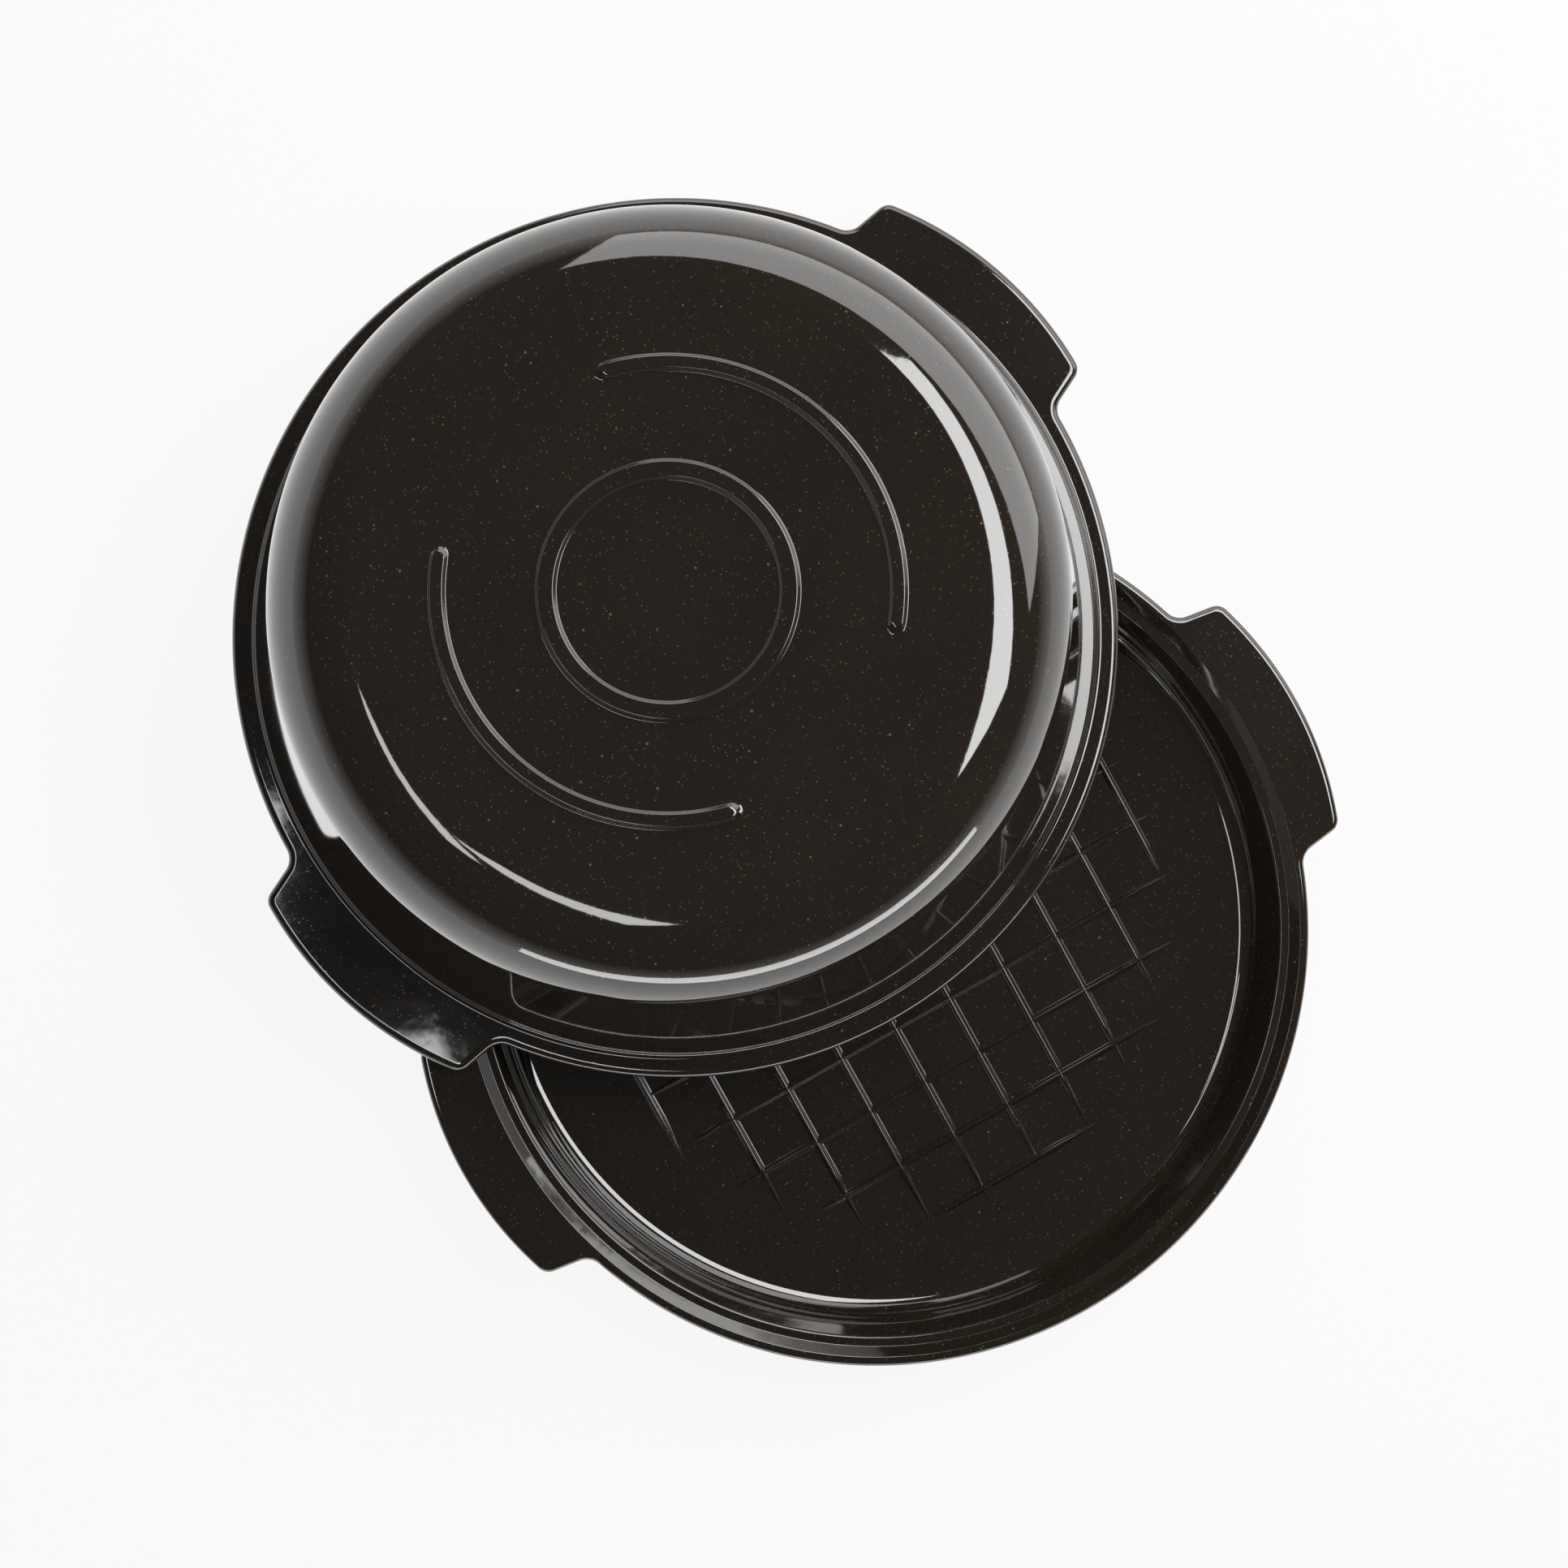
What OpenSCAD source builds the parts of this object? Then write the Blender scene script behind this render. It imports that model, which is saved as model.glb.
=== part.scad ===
// Round bread cloche in glazed ceramic, in millimetres, +Z up.
// The base is a shallow dish with a ridged floor, and the dome is the cover that
// seats on its rim. Each has two flat handles moulded in one piece with it.
// The origin is the middle of the base's foot, and X runs along the base's handles.
// At rest the dome is taken off: it leans with its far edge on the table and its
// near side across the rim of the base.

/* [Base] */
// Diameter of the base at its rim
base_d = 295; // [240:1:360]
// Height of the base
base_h = 30; // [24:0.5:45]
// Thickness of the floor, over the foot's recess
floor_t = 6.5; // [4:0.5:10]
// Thickness of the base's wall
base_wall_t = 6.5; // [4:0.5:10]
// Lean of the base's wall from upright, in degrees
base_draft = 16; // [5:1:30]
// Radius between the floor and the wall
floor_fillet_r = 9; // [4:0.5:14]
// Width of the ring that the base stands on
foot_w = 12; // [6:1:20]
// Depth of the recess inside the foot ring
foot_recess = 1.5; // [0.5:0.25:3]

/* [Seat] */
// Width of the border that stands round the seat
border_w = 3.3; // [2.5:0.1:6]
// Depth of the seat below the border
seat_depth = 3; // [2:0.25:5]
// How far the seat's side slopes in from the border
seat_slope_w = 3.2; // [1.5:0.1:5]
// Width of the seat's flat ledge
ledge_w = 3.2; // [2:0.1:6]
// Gap between the dome's step and the seat
seat_gap = 0.45; // [0.3:0.05:1]

/* [Rim and handles] */
// Thickness of the rims and of the handles
rim_t = 8; // [6:0.5:12]
// Reach of a handle past the rim
handle_reach = 16.5; // [10:0.5:24]
// Width of a handle where it leaves the rim
handle_w = 90; // [60:1:120]
// Lean of a handle's sides, in degrees
handle_taper = 8; // [0:1:15]
// Radius of a handle's outer edge, seen from above
handle_arc_r = 128; // [100:1:160]
// Radius of a handle's outer corners, seen from above
handle_corner_r = 5; // [4:0.5:10]
// Radius between a handle's side and the rim
handle_root_r = 6.5; // [3:0.5:12]
// Rounding of the base's top and bottom edges
base_edge_r = 1.8; // [0.8:0.1:2.4]
// Rounding of the dome's top and bottom edges
dome_edge_r = 2.4; // [0.8:0.1:3.5]

/* [Dome] */
// How far the dome's rim overhangs the base's
dome_overhang = 2; // [0:0.5:4]
// Width of the dome's rim outside its wall
flange_w = 7.5; // [6.5:0.25:14]
// Height of the dome above its seat
dome_h = 109; // [80:1:150]
// Thickness of the dome
dome_wall_t = 6.5; // [4:0.5:9]
// Lean of the dome's wall from upright, in degrees
dome_draft = 6.6; // [2:0.2:15]
// Radius of the dome's shoulder
shoulder_r = 37; // [20:1:55]
// Radius between the dome's wall and its rim
flange_fillet_r = 2; // [1:0.25:4]

/* [Relief on the dome] */
// Height of the raised bands
relief_h = 0.9; // [0.4:0.1:2]
// Slope of a band's edges, on plan
relief_slope = 0.7; // [0.3:0.1:1.5]
// Mid radius of the two long bands
band_r = 71.2; // [55:0.5:85]
// Width of the two long bands
band_w = 5.3; // [3:0.1:9]
// Angle that each long band spans
band_span = 114; // [60:1:150]
// Outer radius of the ring in the middle
ring_r = 40.8; // [20:0.2:50]
// Width of the ring in the middle
ring_w = 6.3; // [3:0.1:10]
// Height of the ring above the flat top
ring_h = 1; // [0:0.1:3]

/* [Ridges on the floor] */
// Distance between the ridges
ridge_pitch = 21.5; // [15:0.5:40]
// Width of a ridge
ridge_w = 2.8; // [1.5:0.1:5]
// Height of a ridge
ridge_h = 0.8; // [0.4:0.1:2]
// Length over which a ridge fades out at each end
ridge_fade = 20; // [8:1:30]
// Bare border between the ridges and the floor's edge
ridge_margin = 20; // [8:1:50]

/* [Where the dome lies] */
// Leaning on the base as it rests, or seated on it
dome_place = "leaning"; // [leaning, seated]
// Distance from the middle of the base to the middle of the leaning dome
lean_reach = 125; // [100:1:145]
// Direction in which the dome lies, from the base's handles, in degrees
lean_heading = 95.65; // [75:0.05:115]
// Turn of the dome's handles from the base's, in degrees
dome_turn = 19.55; // [0:0.05:45]
// Gap left where the dome leans on the base and on the table
rest_gap = 0.3; // [0.3:0.05:0.6]

/* [Hidden] */
glaze = [0.15, 0.125, 0.11];
arc_step = 12;
$fn = 96;
bed = 0.5;
bedded_w = relief_slope * bed / relief_h;
join_w = 0.6;

base_r = base_d / 2;
dome_r = base_r + dome_overhang;
rim_z = base_h - rim_t;

// The seat's outline: border, slope and ledge of the base
border_r = base_r - border_w;
seat_z = base_h - seat_depth;
slope_r = border_r - seat_slope_w;
ledge_r = slope_r - ledge_w;
border_edge_r = 0.5;
ledge_edge_r = 1;

// The dome's step, which hangs in the seat with the gap all round
step_top_r = border_r - seat_gap;
step_r = slope_r - seat_gap;
step_h = seat_depth - seat_gap;
step_edge_r = 0.8;

// Walls, measured at known heights
floor_z = foot_recess + floor_t;
base_wall_side = base_wall_t / cos(base_draft);
dome_wall_r = dome_r - flange_w;
dome_wall_side = dome_wall_t / cos(dome_draft);
outer_fillet_r = floor_fillet_r + base_wall_t;
foot_slope_w = 2 * foot_recess;

function base_inner_r(z) = ledge_r - (seat_z - z) * tan(base_draft);
function dome_outer_r(z) = dome_wall_r - (z - rim_t) * tan(dome_draft);
function tangent_reach(r, lean) = r * tan((90 - lean) / 2);
flat_floor_r = base_inner_r(floor_z) - tangent_reach(floor_fillet_r, base_draft);
foot_r = base_inner_r(0) + base_wall_side - tangent_reach(outer_fillet_r, base_draft);

// The lean: the step's lowest edge is on the table, and its inner edge lies on the
// outer edge of the base's border. Each pass of the function sharpens the angle.
step_inner_r = dome_outer_r(-step_h) - dome_wall_side;
lean_touch_r = base_r - base_edge_r;
lean_touch = (pow(lean_reach, 2) + pow(lean_touch_r, 2) - pow(step_inner_r, 2)) / (2 * lean_reach);
function lean_angle(passes = 8) =
    passes == 0 ? 8 :
    let (a = lean_angle(passes - 1))
    asin(base_h / (step_r + (lean_reach - step_h * sin(a) - lean_touch) / cos(a)));
tilt = lean_angle();
lean_z = rest_gap + step_r * sin(tilt) + step_h * cos(tilt);

function unit(v) = v / norm(v);
function turned(v, a) = [v.x * cos(a) - v.y * sin(a), v.x * sin(a) + v.y * cos(a)];
function flat(p) = [p.x, p.y];

// Points along an arc, without its first one
function arc(centre, r, from, to, steps) = [
    for (i = [1:steps]) centre + turned([r, 0], from + (to - from) * i / steps)
];

// One corner b of an outline, given as [x, y, radius], rounded between a and c
function corner(a, b, c) =
    b[2] == 0 ? [flat(b)] :
    let (
        u = unit(flat(a) - flat(b)),
        v = unit(flat(c) - flat(b)),
        half = acos(u * v) / 2,
        centre = flat(b) + unit(u + v) * b[2] / sin(half),
        start = flat(b) + u * b[2] / tan(half) - centre,
        sweep = (180 - 2 * half) * sign(u.y * v.x - u.x * v.y),
        steps = ceil(abs(sweep) / arc_step)
    )
    [for (i = [0:steps]) centre + turned(start, sweep * i / steps)];

function rounded(p) = [
    for (i = [0:len(p) - 1])
        each corner(p[(i + len(p) - 1) % len(p)], p[i], p[(i + 1) % len(p)])
];

// Where the line from p along d reaches the distance r from a centre
function at_distance(p, d, r, centre = [0, 0]) =
    let (w = p - centre)
    p + d * (sqrt(pow(w * d, 2) - w * w + r * r) - w * d);

// A quarter of a rim's outline with half a handle, drawn in by the inset
function rim_quarter(r, inset) =
    let (
        side = [cos(handle_taper), -sin(handle_taper)],
        out = [sin(handle_taper), cos(handle_taper)],
        leave = [r, handle_w / 2],
        arc_c = [r + handle_reach - handle_arc_r, 0],
        corner_c = at_distance(leave - out * handle_corner_r, side, handle_arc_r - handle_corner_r, arc_c),
        root_c = at_distance(leave + out * handle_root_r, side, r + handle_root_r),
        corner_a = atan2(corner_c.y - arc_c.y, corner_c.x - arc_c.x),
        root_a = atan2(root_c.y, root_c.x)
    )
    concat(
        [[r + handle_reach - inset, 0]],
        arc(arc_c, handle_arc_r - inset, 0, corner_a, 5),
        arc(corner_c, handle_corner_r - inset, corner_a, 90 - handle_taper, 5),
        [root_c - out * (handle_root_r + inset)],
        arc(root_c, handle_root_r + inset, 270 - handle_taper, 180 + root_a, 4),
        arc([0, 0], r - inset, root_a, 90, 16)
    );

function rim_outline(r, inset) =
    let (
        quarter = rim_quarter(r, inset),
        half = concat(quarter, [for (i = [len(quarter) - 2:-1:0]) [-quarter[i].x, quarter[i].y]])
    )
    concat(half, [for (i = [len(half) - 2:-1:1]) [half[i].x, -half[i].y]]);

// The outline of a band bent round the origin, with round ends
function band_outline(r, w, span, inset) =
    let (
        half_w = w / 2 - inset,
        end = turned([r, 0], span / 2),
        start = turned([r, 0], -span / 2)
    )
    concat(
        arc([0, 0], r + half_w, -span / 2, span / 2, 18),
        arc(end, half_w, span / 2, span / 2 + 180, 5),
        arc([0, 0], r - half_w, span / 2, -span / 2, 18),
        arc(start, half_w, 180 - span / 2, 360 - span / 2, 5)
    );

// The outline of a ridge that runs along X to a point at each end
function ridge_outline(half_len, half_w, fade) = [
    [half_len, 0], [half_len - fade, half_w], [fade - half_len, half_w],
    [-half_len, 0], [fade - half_len, -half_w], [half_len - fade, -half_w]
];

// A solid through a stack of outlines with the same number of points each
module loft(outlines, heights) {
    n = len(outlines[0]);
    top = len(outlines) - 1;
    polyhedron(
        points = [for (k = [0:top]) for (p = outlines[k]) [p.x, p.y, heights[k]]],
        faces = concat(
            [[for (i = [0:n - 1]) i]],
            [for (k = [0:top - 1]) for (i = [0:n - 1])
                [k * n + i, (k + 1) * n + i, (k + 1) * n + (i + 1) % n, k * n + (i + 1) % n]],
            [[for (i = [n - 1:-1:0]) top * n + i]]
        )
    );
}

// The rim with its two handles, as a ring from a hole's radius outwards
module rim(r, z, edge_r, hole_r) {
    turns = [0, 45, 90];
    insets = concat([for (a = turns) edge_r * (1 - sin(a))], [for (a = turns) edge_r * (1 - cos(a))]);
    heights = concat(
        [for (a = turns) z + edge_r * (1 - cos(a))],
        [for (a = turns) z + rim_t - edge_r * (1 - sin(a))]
    );
    difference() {
        loft([for (e = insets) rim_outline(r, e)], heights);
        translate([0, 0, z - 1]) cylinder(r = hole_r, h = rim_t + 2);
    }
}

module base_body() {
    join_r = border_r + border_edge_r + join_w;
    rotate_extrude()
        polygon(rounded([
            [0, foot_recess, 0],
            [foot_r - foot_w - foot_slope_w, foot_recess, 0],
            [foot_r - foot_w, 0, 0],
            [base_inner_r(0) + base_wall_side, 0, outer_fillet_r],
            [base_inner_r(rim_z) + base_wall_side, rim_z, 0],
            [join_r, rim_z, 0],
            [join_r, base_h, 0],
            [border_r, base_h, border_edge_r],
            [slope_r, seat_z, border_edge_r],
            [ledge_r, seat_z, ledge_edge_r],
            [base_inner_r(floor_z), floor_z, floor_fillet_r],
            [0, floor_z, 0]
        ]));
}

module floor_ridges() {
    field_r = flat_floor_r - ridge_margin;
    last = floor(field_r / ridge_pitch - 0.5);
    side = ridge_h / 2;
    for (turn = [0, 90], i = [-last - 1:last]) {
        across = (i + 0.5) * ridge_pitch;
        half_len = sqrt(pow(field_r, 2) - pow(across, 2));
        fade = min(ridge_fade, half_len / 2);
        bottom = ridge_outline(half_len, ridge_w / 2 + side * bed, fade);
        top = ridge_outline(half_len - fade / 2, ridge_w / 2 - side, fade);
        rotate([0, 0, turn])
            translate([0, across, floor_z])
                loft([bottom, top], [-bed, ridge_h]);
    }
}

module base() {
    color(glaze) {
        rim(base_r, rim_z, base_edge_r, border_r + border_edge_r + join_w);
        base_body();
        floor_ridges();
    }
}

module dome_body() {
    join_r = step_top_r + join_w;
    rotate_extrude()
        polygon(rounded([
            [0, dome_h, 0],
            [0, dome_h - dome_wall_t, 0],
            [dome_outer_r(dome_h - dome_wall_t) - dome_wall_side, dome_h - dome_wall_t, shoulder_r - dome_wall_t],
            [step_inner_r, -step_h, step_edge_r],
            [step_r, -step_h, step_edge_r],
            [step_top_r, 0, 0],
            [join_r, 0, 0],
            [join_r, rim_t, 0],
            [dome_wall_r, rim_t, flange_fillet_r],
            [dome_outer_r(dome_h), dome_h, shoulder_r],
            [ring_r, dome_h, 0],
            [ring_r - relief_slope, dome_h + ring_h, 0],
            [ring_r - ring_w + relief_slope, dome_h + ring_h, 0],
            [ring_r - ring_w, dome_h, 0]
        ]));
}

module relief_band(turn) {
    insets = [-bedded_w, relief_slope];
    rotate([0, 0, turn])
        loft([for (e = insets) band_outline(band_r, band_w, band_span, e)], [dome_h - bed, dome_h + relief_h]);
}

module dome_upright() {
    rim(dome_r, 0, dome_edge_r, step_top_r + join_w);
    dome_body();
    relief_band(0);
    relief_band(180);
}

module dome() {
    color(glaze)
        if (dome_place == "seated")
            translate([0, 0, base_h]) dome_upright();
        else
            translate([lean_reach * cos(lean_heading), lean_reach * sin(lean_heading), lean_z])
                rotate(a = tilt, v = [-sin(lean_heading), cos(lean_heading), 0])
                    rotate([0, 0, dome_turn])
                        dome_upright();
}

base();
dome();
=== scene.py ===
"""The looks of a round glazed bread cloche: a shallow base and its leaning dome."""

import math

import bpy
from mathutils import Matrix, Vector


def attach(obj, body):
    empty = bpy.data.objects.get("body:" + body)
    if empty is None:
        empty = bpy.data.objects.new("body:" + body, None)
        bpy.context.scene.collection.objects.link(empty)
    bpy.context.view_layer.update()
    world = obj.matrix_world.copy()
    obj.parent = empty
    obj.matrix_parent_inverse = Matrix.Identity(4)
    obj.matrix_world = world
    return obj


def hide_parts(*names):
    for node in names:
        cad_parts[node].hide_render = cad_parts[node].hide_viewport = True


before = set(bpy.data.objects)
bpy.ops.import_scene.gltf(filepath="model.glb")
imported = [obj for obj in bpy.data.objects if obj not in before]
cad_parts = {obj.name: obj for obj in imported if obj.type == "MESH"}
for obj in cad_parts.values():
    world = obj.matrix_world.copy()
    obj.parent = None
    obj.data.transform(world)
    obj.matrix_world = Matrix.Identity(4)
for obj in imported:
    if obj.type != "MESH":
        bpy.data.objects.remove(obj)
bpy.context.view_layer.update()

MM = 0.001
QUARTER_TURN = math.pi / 2

# Sizes in millimetres. The base:
BASE_R, BASE_H, RIM_T = 147.5, 30.0, 8.0
RIM_Z, SEAT_Z, FLOOR_Z, FOOT_RECESS = 22.0, 27.0, 8.0, 1.5
BORDER_R, SLOPE_R, LEDGE_R = 144.2, 141.0, 137.8
BASE_DRAFT = math.radians(16)
WALL_T = 6.5
BASE_WALL = WALL_T / math.cos(BASE_DRAFT)
FLOOR_FILLET_R, OUTER_FILLET_R, UNDER_RIM_R = 9.0, 15.5, 0.6
BORDER_EDGE_R, LEDGE_EDGE_R, BASE_EDGE_R = 0.5, 1.0, 1.8
FOOT_W, FOOT_SLOPE_W, FOOT_EDGE_R = 12.0, 2.0, 0.4

# The dome:
DOME_R, DOME_H, DOME_WALL_R, SHOULDER_R = 149.5, 109.0, 142.0, 30.1
DOME_DRAFT = math.radians(11.1)
DOME_WALL = WALL_T / math.cos(DOME_DRAFT)
STEP_TOP_R, STEP_R, STEP_H = 143.75, 140.55, 2.55
STEP_ROOT_R, STEP_EDGE_R, FLANGE_FILLET_R, DOME_EDGE_R = 0.3, 0.8, 2.0, 2.4

# The handles:
HANDLE_REACH, HANDLE_HALF, HANDLE_TAPER = 16.5, 45.0, math.radians(8)
HANDLE_ARC_R, HANDLE_CORNER_R, HANDLE_ROOT_R = 128.0, 5.0, 6.5

# The ridges on the base's floor, and the relief on the dome's flat top:
RIDGE_PITCH, RIDGE_HALF_W, RIDGE_H, RIDGE_FADE = 21.5, 1.736, 1.0, 20.0
RIDGE_FIELD_R, RIDGE_SUNK, RIDGE_TAPER_POWER = 104.4, 0.015, 0.6
BAND_R, BAND_HALF_W, BAND_H, BAND_HALF_SPAN = 71.2, 2.9, 1.25, math.radians(57)
RING_R, RING_HALF_W, RING_H = 37.65, 3.4, 1.25
RELIEF_SLOPE = 1.2

# Where the dome lies:
LEAN_REACH, LEAN_Z, LEAN_TILT = 125.0, 24.65480, math.radians(8.93764)
LEAN_HEADING, DOME_TURN = math.radians(95.65), math.radians(19.55)

# Steps round a quarter of a rim, across the floor, and along and across a ridge
TIP_STEPS, CORNER_STEPS, SIDE_STEPS, ROOT_STEPS, ROUND_STEPS = 22, 10, 4, 8, 72
EDGE_STEPS, FLOOR_STEPS = 7, 14
RIDGE_STATIONS, RIDGE_COLUMNS = 90, 16

# Loops of the flat top, close together where it is raised: first radius, step and count
FINE_STEP, COARSE_STEP = 0.25, 3.2
TOP_LOOPS = (
    (1.0, 3.4, 10),
    (33.6, FINE_STEP, 34),
    (43.5, COARSE_STEP, 8),
    (67.6, FINE_STEP, 30),
    (76.5, COARSE_STEP, 6),
)

# Where the profiles start and end: beside the middle, and on the flats that meet a rim
POLE_R, DOME_POLE_R, FLAT_TOP_R = 0.5, 2.0, 94.6
BORDER_LAP, UNDER_RIM_LAP, FLANGE_LAP, STEP_LAP, EDGE_HOLD = 0.9, 1.6, 2.9, 1.2, 0.4

# The glaze's colours, from its darkest to its palest fleck
GLAZE_DARK = (0.011, 0.0077, 0.0052, 1)
GLAZE_BROWN = (0.025, 0.018, 0.012, 1)
GLAZE_GRAIN = (0.022, 0.0165, 0.0115, 1)
FINE_FLECK = (0.17, 0.135, 0.1, 1)
COARSE_FLECK = (0.26, 0.21, 0.16, 1)
# The smallest fleck's share of the fleck size, and how sharply flecks end
FLECK_LEAST, FLECK_EDGE = 0.35, 2.2

# The camera, and how far the frame is turned in the photo's plane
CAMERA_AT = Vector((-78.5, 161.96, 1197.0))
CAMERA_LEAN = Vector((math.radians(2.5), math.radians(5.5), 0))
CAMERA_LENS, CAMERA_SENSOR = 79.43, 36.0
PHOTO_TURN = 29.0

# Softboxes: name, direction and height in degrees, distance, width and height in metres, glow
SOFTBOXES = (
    ("key_softbox", 34, 62, 1.4, 1.05, 0.42, 7.0),
    ("side_panel", 60, 26, 1.5, 2.6, 1.05, 2.2),
    ("front_panel", 285, 6, 1.3, 2.4, 0.2, 4.0),
    ("left_strip", 172, 68, 1.5, 0.4, 0.1, 5.0),
    ("left_strip_low", 205, 76, 1.5, 0.5, 0.14, 5.0),
)
SOFTBOX_AIM = Vector((-0.01, 0.10, 0.06))
TABLE_HALF = 9000
TABLE_GLOW_SHARE = 0.9


# Outlines and profiles

def turned(p, angle):
    c, s = math.cos(angle), math.sin(angle)
    return Vector((p[0] * c - p[1] * s, p[0] * s + p[1] * c))


def arc(centre, radius, start, end, steps):
    """Points along an arc, without its first one."""
    return [
        Vector(centre) + turned((radius, 0), start + (end - start) * i / steps)
        for i in range(1, steps + 1)]


def where_at_distance(p, d, radius, centre=(0, 0)):
    """Where the line from p along d reaches a distance from a centre."""
    w = p - Vector(centre)
    along = w.dot(d)
    return p + d * (math.sqrt(along ** 2 - w.dot(w) + radius ** 2) - along)


def rim_outline(radius, inset):
    """A rim with its two handles, seen from above and drawn in by the inset."""
    side = Vector((math.cos(HANDLE_TAPER), -math.sin(HANDLE_TAPER)))
    out = Vector((math.sin(HANDLE_TAPER), math.cos(HANDLE_TAPER)))
    leave = Vector((radius, HANDLE_HALF))
    tip_c = Vector((radius + HANDLE_REACH - HANDLE_ARC_R, 0))
    corner_c = where_at_distance(
        leave - out * HANDLE_CORNER_R, side, HANDLE_ARC_R - HANDLE_CORNER_R, tip_c)
    root_c = where_at_distance(leave + out * HANDLE_ROOT_R, side, radius + HANDLE_ROOT_R)
    corner_a = math.atan2(corner_c.y, corner_c.x - tip_c.x)
    root_a = math.atan2(root_c.y, root_c.x)
    side_a = QUARTER_TURN - HANDLE_TAPER

    corner = arc(corner_c, HANDLE_CORNER_R - inset, corner_a, side_a, CORNER_STEPS)
    root_start = root_c - out * (HANDLE_ROOT_R + inset)
    quarter = [Vector((radius + HANDLE_REACH - inset, 0))]
    quarter += arc(tip_c, HANDLE_ARC_R - inset, 0, corner_a, TIP_STEPS)
    quarter += corner
    quarter += [corner[-1].lerp(root_start, i / SIDE_STEPS) for i in range(1, SIDE_STEPS + 1)]
    quarter += arc(root_c, HANDLE_ROOT_R + inset, side_a + math.pi, root_a + math.pi, ROOT_STEPS)
    quarter += arc((0, 0), radius - inset, root_a, QUARTER_TURN, ROUND_STEPS)
    half = quarter + [Vector((-p.x, p.y)) for p in quarter[-2::-1]]
    return half + [Vector((p.x, -p.y)) for p in half[-2:0:-1]]


def rounded_profile(points, step=7.0, hold=0.3):
    """A section's (r, z) points, each corner rounded to its radius and held flat beside it."""
    result = [Vector(points[0][:2])]
    for before, here, after in zip(points, points[1:], points[2:]):
        b, radius = Vector(here[:2]), here[2]
        u, v = (Vector(before[:2]) - b).normalized(), (Vector(after[:2]) - b).normalized()
        half = u.angle(v) / 2
        reach = radius / math.tan(half)
        centre = b + (u + v).normalized() * radius / math.sin(half)
        start = b + u * reach - centre
        sweep = math.copysign(math.pi - 2 * half, u.y * v.x - u.x * v.y)
        steps = max(4, math.ceil(math.degrees(abs(sweep)) / step))
        result.append(b + u * (reach + hold))
        result += [centre + turned(start, sweep * i / steps) for i in range(steps + 1)]
        result.append(b + v * (reach + hold))
    return result + [Vector(points[-1][:2])]


def rim_edge(radius, z, edge_r):
    """The loops round a rim's edge, from its top face to its underside."""
    turns = [QUARTER_TURN * i / EDGE_STEPS for i in range(EDGE_STEPS + 1)]
    top, hold = z + RIM_T, edge_r + EDGE_HOLD
    rows = [(hold, top)]
    rows += [(edge_r * (1 - math.sin(a)), top - edge_r * (1 - math.cos(a))) for a in turns]
    rows += [(0, z + RIM_T / 2)]
    rows += [(edge_r * (1 - math.cos(a)), z + edge_r * (1 - math.sin(a))) for a in turns]
    rows += [(hold, z)]
    return [[(p.x, p.y, height) for p in rim_outline(radius, inset)] for inset, height in rows]


def angles_of(loop):
    return [math.atan2(p[1], p[0]) for p in loop]


def circle_loops(profile, angles, rise=lambda r, a: 0.0):
    """One round loop for each point of a profile, raised by rise(r, angle)."""
    return [
        [(r * math.cos(a), r * math.sin(a), z + rise(r, a)) for a in angles]
        for r, z in profile]


def split(a, b, steps):
    """Points between two profile points, without either end."""
    return [Vector(a).lerp(Vector(b), i / steps) for i in range(1, steps)]


def eased(x):
    x = min(max(x, 0.0), 1.0)
    return x * x * (3 - 2 * x)


# Pieces

def smooth_mesh(name, verts, faces, place=Matrix.Identity(4)):
    mesh = bpy.data.meshes.new(name)
    mesh.from_pydata([(place @ Vector(v)) * MM for v in verts], [], faces)
    mesh.polygons.foreach_set("use_smooth", [True] * len(mesh.polygons))
    mesh.update()
    obj = bpy.data.objects.new(name, mesh)
    bpy.context.scene.collection.objects.link(obj)
    return obj


def skin(loops, first_pole, last_pole):
    """Verts and faces of a closed skin through loops, with a pole at either end."""
    count = len(loops[0])
    verts = [p for loop in loops for p in loop]
    faces = []
    for k in range(len(loops) - 1):
        low, high = k * count, (k + 1) * count
        for i in range(count):
            j = (i + 1) % count
            faces.append((low + i, high + i, high + j, low + j))
    for pole, start, order in ((first_pole, 0, 1), (last_pole, (len(loops) - 1) * count, -1)):
        verts.append(pole)
        tip = len(verts) - 1
        for i in range(count):
            faces.append((tip, start + i, start + (i + 1) % count)[::order])
    return verts, faces


def base_inner_r(z):
    return LEDGE_R - (SEAT_Z - z) * math.tan(BASE_DRAFT)


def dome_outer_r(z):
    return DOME_WALL_R - (z - RIM_T) * math.tan(DOME_DRAFT)


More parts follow.
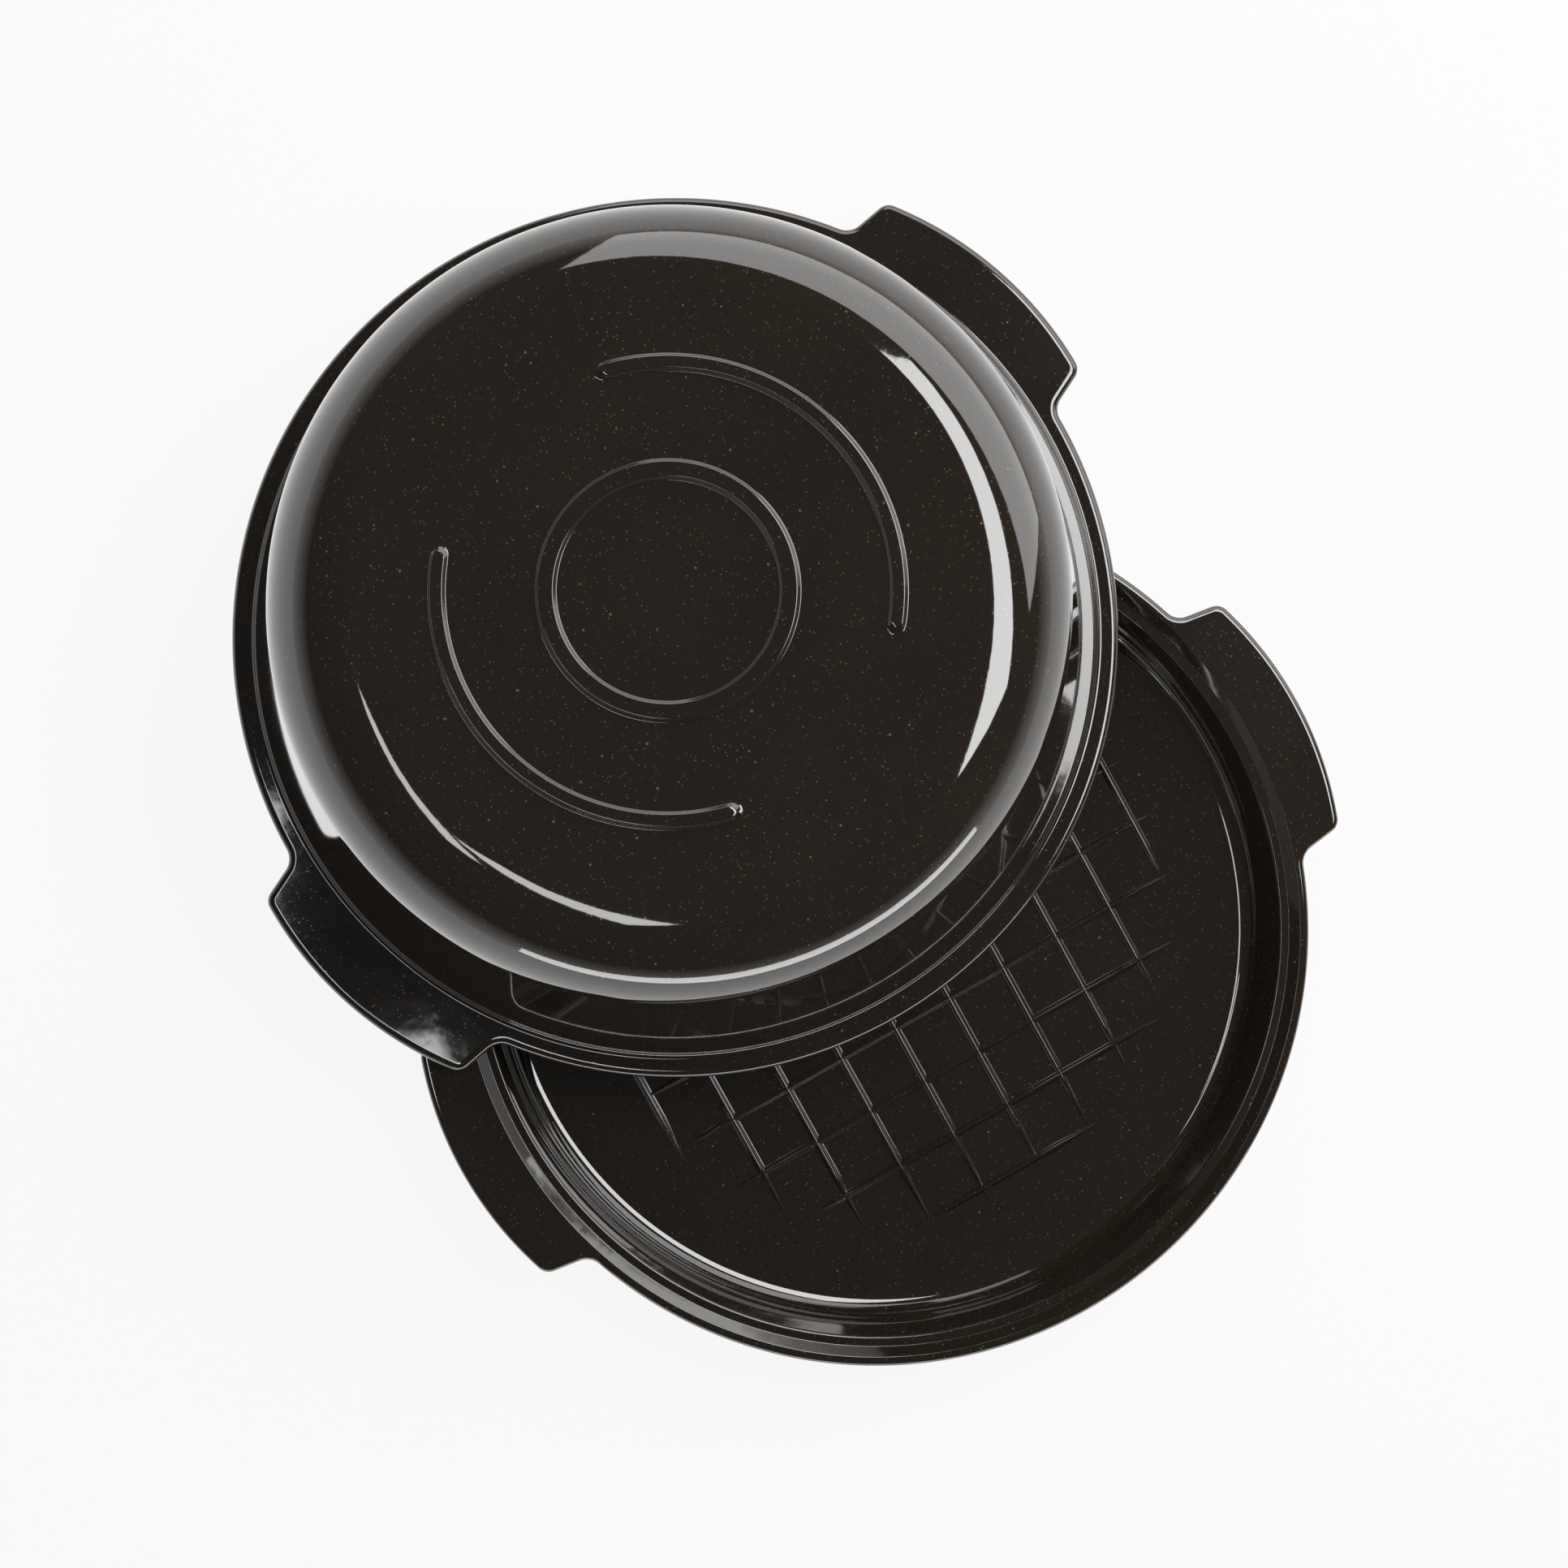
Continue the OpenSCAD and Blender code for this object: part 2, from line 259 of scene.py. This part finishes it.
def build_base():
    edge = rim_edge(BASE_R, RIM_Z, BASE_EDGE_R)
    angles = angles_of(edge[0])
    inside = rounded_profile([
        (POLE_R, FLOOR_Z),
        (base_inner_r(FLOOR_Z), FLOOR_Z, FLOOR_FILLET_R),
        (LEDGE_R, SEAT_Z, LEDGE_EDGE_R),
        (SLOPE_R, SEAT_Z, BORDER_EDGE_R),
        (BORDER_R, BASE_H, BORDER_EDGE_R),
        (BORDER_R + BORDER_LAP, BASE_H)], hold=0.2)
    under_rim_r = base_inner_r(RIM_Z) + BASE_WALL
    wall_foot_r = base_inner_r(0) + BASE_WALL
    foot_r = wall_foot_r - OUTER_FILLET_R * math.tan((QUARTER_TURN - BASE_DRAFT) / 2)
    outside = rounded_profile([
        (under_rim_r + UNDER_RIM_LAP, RIM_Z),
        (under_rim_r, RIM_Z, UNDER_RIM_R),
        (wall_foot_r, 0, OUTER_FILLET_R),
        (foot_r - FOOT_W, 0, FOOT_EDGE_R),
        (foot_r - FOOT_W - FOOT_SLOPE_W, FOOT_RECESS, UNDER_RIM_R),
        (POLE_R, FOOT_RECESS)])
    floor = split(inside[0], inside[1], FLOOR_STEPS)
    loops = circle_loops(inside[:1] + floor + inside[1:], angles)
    loops += edge + circle_loops(outside, angles)
    return smooth_mesh("base_glazed", *skin(loops, (0, 0, FLOOR_Z), (0, 0, FOOT_RECESS)))


def build_ridge(name, across, turn):
    """One low ridge of the floor, which fades to a point at each end."""
    half_len = math.sqrt(RIDGE_FIELD_R ** 2 - across ** 2)
    fade = min(RIDGE_FADE, half_len / 2)
    verts = []
    for i in range(RIDGE_STATIONS + 1):
        s = half_len * math.sin(QUARTER_TURN * (2 * i / RIDGE_STATIONS - 1))
        full = min(1.0, (half_len - abs(s)) / fade)
        for k in range(RIDGE_COLUMNS + 1):
            u = 2 * k / RIDGE_COLUMNS - 1
            rise = RIDGE_H * full ** RIDGE_TAPER_POWER * math.cos(QUARTER_TURN * u) ** 2
            p = turned((s, across + u * RIDGE_HALF_W * full), turn)
            verts.append((p.x, p.y, FLOOR_Z - RIDGE_SUNK + rise))
    row = RIDGE_COLUMNS + 1
    starts = [i * row + k for i in range(RIDGE_STATIONS) for k in range(RIDGE_COLUMNS)]
    return smooth_mesh(name, verts, [(a, a + row, a + row + 1, a + 1) for a in starts])


def relief(r, angle):
    """How far the flat top is raised: the ring in the middle and the two long bands."""
    ring = eased((RING_HALF_W - abs(r - RING_R)) / RELIEF_SLOPE) * RING_H
    off = abs((angle + QUARTER_TURN) % math.pi - QUARTER_TURN)
    if off <= BAND_HALF_SPAN:
        away = abs(r - BAND_R)
    else:
        end = Vector((BAND_R * math.cos(BAND_HALF_SPAN), BAND_R * math.sin(BAND_HALF_SPAN)))
        away = (Vector((r * math.cos(off), r * math.sin(off))) - end).length
    return max(ring, eased((BAND_HALF_W - away) / RELIEF_SLOPE) * BAND_H)


def build_dome(place):
    edge = rim_edge(DOME_R, 0, DOME_EDGE_R)
    angles = angles_of(edge[0])
    inner_top_z = DOME_H - WALL_T
    step_inner_r = dome_outer_r(-STEP_H) - DOME_WALL
    outside = rounded_profile([
        (FLAT_TOP_R, DOME_H),
        (dome_outer_r(DOME_H), DOME_H, SHOULDER_R),
        (DOME_WALL_R, RIM_T, FLANGE_FILLET_R),
        (DOME_WALL_R + FLANGE_LAP, RIM_T)], step=2.2)
    inside = rounded_profile([
        (STEP_TOP_R + STEP_LAP, 0),
        (STEP_TOP_R, 0, STEP_ROOT_R),
        (STEP_R, -STEP_H, STEP_EDGE_R),
        (step_inner_r, -STEP_H, STEP_EDGE_R),
        (dome_outer_r(inner_top_z) - DOME_WALL, inner_top_z, SHOULDER_R - WALL_T),
        (DOME_POLE_R, inner_top_z)])
    top_r = [first + i * step for first, step, count in TOP_LOOPS for i in range(count)]
    top = circle_loops([(r, DOME_H) for r in top_r], angles, relief)
    loops = top + circle_loops(outside, angles) + edge + circle_loops(inside, angles)
    return smooth_mesh("dome_glazed", *skin(loops, (0, 0, DOME_H), (0, 0, inner_top_z)), place)


def leaning():
    heading = Vector((math.cos(LEAN_HEADING), math.sin(LEAN_HEADING), 0))
    spot = Matrix.Translation(heading * LEAN_REACH + Vector((0, 0, LEAN_Z)))
    lean = Matrix.Rotation(LEAN_TILT, 4, Vector((-heading.y, heading.x, 0)))
    return spot @ lean @ Matrix.Rotation(DOME_TURN, 4, "Z")


# Glaze and table

class Level:
    """A node's socket, on which Python's operators add Math nodes."""

    def __init__(self, recipe, socket):
        self.recipe, self.socket = recipe, socket

    def beside(self, name):
        """Another output of the same node."""
        return Level(self.recipe, self.socket.node.outputs[name])

    def clamped(self):
        return self.recipe.add("ShaderNodeClamp", {}, {"Value": self})

    def _math(self, operation, *values):
        return self.recipe.add("ShaderNodeMath", {"operation": operation}, dict(enumerate(values)))

    def __add__(self, other):
        return self._math("ADD", self, other)

    __radd__ = __add__

    def __sub__(self, other):
        return self._math("SUBTRACT", self, other)

    def __rsub__(self, other):
        return self._math("SUBTRACT", other, self)

    def __mul__(self, other):
        return self._math("MULTIPLY", self, other)

    __rmul__ = __mul__

    def __lt__(self, other):
        return self._math("LESS_THAN", self, other)

    def __gt__(self, other):
        return self._math("GREATER_THAN", self, other)


class Recipe:
    """The node tree of a material or of the world."""

    def __init__(self, owner):
        owner.use_nodes = True
        self.owner, self.tree = owner, owner.node_tree
        self.tree.nodes.clear()

    def add(self, kind, settings, sockets, output=0):
        """Adds a node, its settings first, and returns one of its outputs."""
        node = self.tree.nodes.new(kind)
        for key, value in settings.items():
            setattr(node, key, value)
        for key, value in sockets.items():
            if isinstance(value, Level):
                self.tree.links.new(value.socket, node.inputs[key])
            else:
                node.inputs[key].default_value = value
        return Level(self, node.outputs[output]) if node.outputs else None

    def mixed(self, factor, a, b):
        """Two colours mixed by a factor."""
        return self.add("ShaderNodeMix", {"data_type": "RGBA"}, {0: factor, 6: a, 7: b}, output=2)

    def finish_with(self, shader, output="ShaderNodeOutputMaterial"):
        self.add(output, {}, {"Surface": shader})
        return self.owner


def flecks(recipe, where, per_metre, share, size):
    """A mask of small round flecks: the share of cells that has one, and its size in a cell."""
    cell = recipe.add("ShaderNodeTexVoronoi", {}, {"Vector": where, "Scale": per_metre})
    luck = recipe.add("ShaderNodeSeparateColor", {}, {"Color": cell.beside("Color")})
    reach = luck.beside("Green") * size + size * FLECK_LEAST
    return ((reach - cell) * (FLECK_EDGE / size)).clamped() * (luck < share)


def speckled_glaze():
    recipe = Recipe(bpy.data.materials.new("speckled_glaze"))
    where = recipe.add("ShaderNodeTexCoord", {}, {}, output="Object")

    def noise(**sockets):
        return recipe.add("ShaderNodeTexNoise", {}, {"Vector": where, **sockets})

    cloud = noise(Scale=22.0, Detail=5.0, Roughness=0.6)
    grain = noise(Scale=700.0, Detail=3.0)
    peel = noise(Scale=95.0, Detail=2.0)
    fine = flecks(recipe, where, per_metre=850.0, share=0.6, size=0.22)
    coarse = flecks(recipe, where, per_metre=300.0, share=0.25, size=0.12)

    body = recipe.mixed(cloud, GLAZE_DARK, GLAZE_BROWN)
    body = recipe.mixed((grain * 0.5).clamped(), body, GLAZE_GRAIN)
    spotted = recipe.mixed(fine * 0.55, body, FINE_FLECK)
    spotted = recipe.mixed(coarse * 0.5, spotted, COARSE_FLECK)
    bump = recipe.add("ShaderNodeBump", {}, {
        "Strength": 0.05,
        "Distance": 0.001,
        "Height": peel + fine * 0.05 + coarse * 0.12})
    return recipe.finish_with(recipe.add("ShaderNodeBsdfPrincipled", {}, {
        "Base Color": spotted,
        "Roughness": cloud * 0.03 + coarse * 0.05 + 0.035,
        "IOR": 1.6,
        "Coat Weight": 1.0,
        "Coat Roughness": 0.03,
        "Coat IOR": 1.5,
        "Normal": bump}))


def white_table():
    """Paper that takes the object's shadow, and a glow that keeps it white."""
    recipe = Recipe(bpy.data.materials.new("white_table"))
    paper = recipe.add("ShaderNodeBsdfDiffuse", {}, {"Color": (0.82, 0.82, 0.82, 1)})
    glow = recipe.add("ShaderNodeEmission", {}, {"Color": (1, 1, 1, 1), "Strength": 1.0})
    return recipe.finish_with(
        recipe.add("ShaderNodeMixShader", {}, {0: TABLE_GLOW_SHARE, 1: paper, 2: glow}))


def studio_world():
    """White where the camera looks, and a dark room with a paler skirting for the object."""
    recipe = Recipe(bpy.data.worlds.new("studio"))
    way = recipe.add("ShaderNodeTexCoord", {}, {}, output="Generated")
    height = recipe.add("ShaderNodeSeparateXYZ", {}, {0: way}, output="Z")
    strength = recipe.add("ShaderNodeMapRange", {}, {
        "Value": height, "From Min": 0.0, "From Max": 0.35, "To Min": 0.7, "To Max": 0.055})
    room = recipe.add("ShaderNodeBackground", {}, {"Color": (1, 1, 1, 1), "Strength": strength})
    white = recipe.add("ShaderNodeBackground", {}, {"Color": (1, 1, 1, 1)})
    seen = recipe.add("ShaderNodeLightPath", {}, {}, output="Is Camera Ray")
    choice = recipe.add("ShaderNodeMixShader", {}, {0: seen, 1: room, 2: white})
    return recipe.finish_with(choice, output="ShaderNodeOutputWorld")


# Studio

def photo_direction(azimuth, elevation):
    """A direction by its angle in the photo's plane and its height, as a vector in the frame."""
    a, e = math.radians(azimuth - PHOTO_TURN), math.radians(elevation)
    return Vector((math.cos(a) * math.cos(e), math.sin(a) * math.cos(e), math.sin(e)))


def softbox(name, azimuth, elevation, distance, width, height, glow):
    data = bpy.data.lights.new(name, "AREA")
    data.shape = "RECTANGLE"
    data.size, data.size_y = width, height
    data.energy = glow * math.pi * width * height
    lamp = bpy.data.objects.new(name, data)
    direction = photo_direction(azimuth, elevation)
    lamp.location = SOFTBOX_AIM + direction * distance
    lamp.rotation_euler = direction.to_track_quat("Z", "Y").to_euler()
    lamp.visible_camera = False
    bpy.context.scene.collection.objects.link(lamp)


def build_studio():
    for values in SOFTBOXES:
        softbox(*values)
    corners = [
        (x * TABLE_HALF, y * TABLE_HALF, 0)
        for x, y in ((-1, -1), (1, -1), (1, 1), (-1, 1))]
    table = smooth_mesh("table", corners, [(0, 1, 2, 3)])
    table.data.materials.append(white_table())
    bpy.context.scene.world = studio_world()
    bpy.context.scene.view_settings.view_transform = "Standard"


def build_camera():
    data = bpy.data.cameras.new("camera")
    data.sensor_width, data.lens = CAMERA_SENSOR, CAMERA_LENS
    data.clip_end = 50.0
    camera = bpy.data.objects.new("camera", data)
    into_view = Matrix.Rotation(CAMERA_LEAN.length, 3, CAMERA_LEAN.normalized())
    facing = Matrix.Rotation(math.radians(-PHOTO_TURN), 3, "Z") @ into_view.transposed()
    camera.matrix_world = Matrix.Translation(CAMERA_AT * MM) @ facing.to_4x4()
    bpy.context.scene.collection.objects.link(camera)
    bpy.context.scene.camera = camera


glaze = speckled_glaze()
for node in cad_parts.values():
    node.data.materials.clear()
    node.data.materials.append(glaze)

base = build_base()
base.data.materials.append(glaze)
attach(base, "base")
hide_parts("base")

# The ridges lie half a pitch, one and a half pitches and so on from the middle, both ways
last = math.floor(RIDGE_FIELD_R / RIDGE_PITCH - 0.5)
for turn, way in ((0.0, "along"), (QUARTER_TURN, "across")):
    for i in range(-last - 1, last + 1):
        ridge = build_ridge(f"ridge_{way}_{i + last + 2}", (i + 0.5) * RIDGE_PITCH, turn)
        ridge.data.materials.append(glaze)
        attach(ridge, "base")

dome = build_dome(leaning())
dome.data.materials.append(glaze)
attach(dome, "dome")
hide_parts("dome")

build_studio()
build_camera()
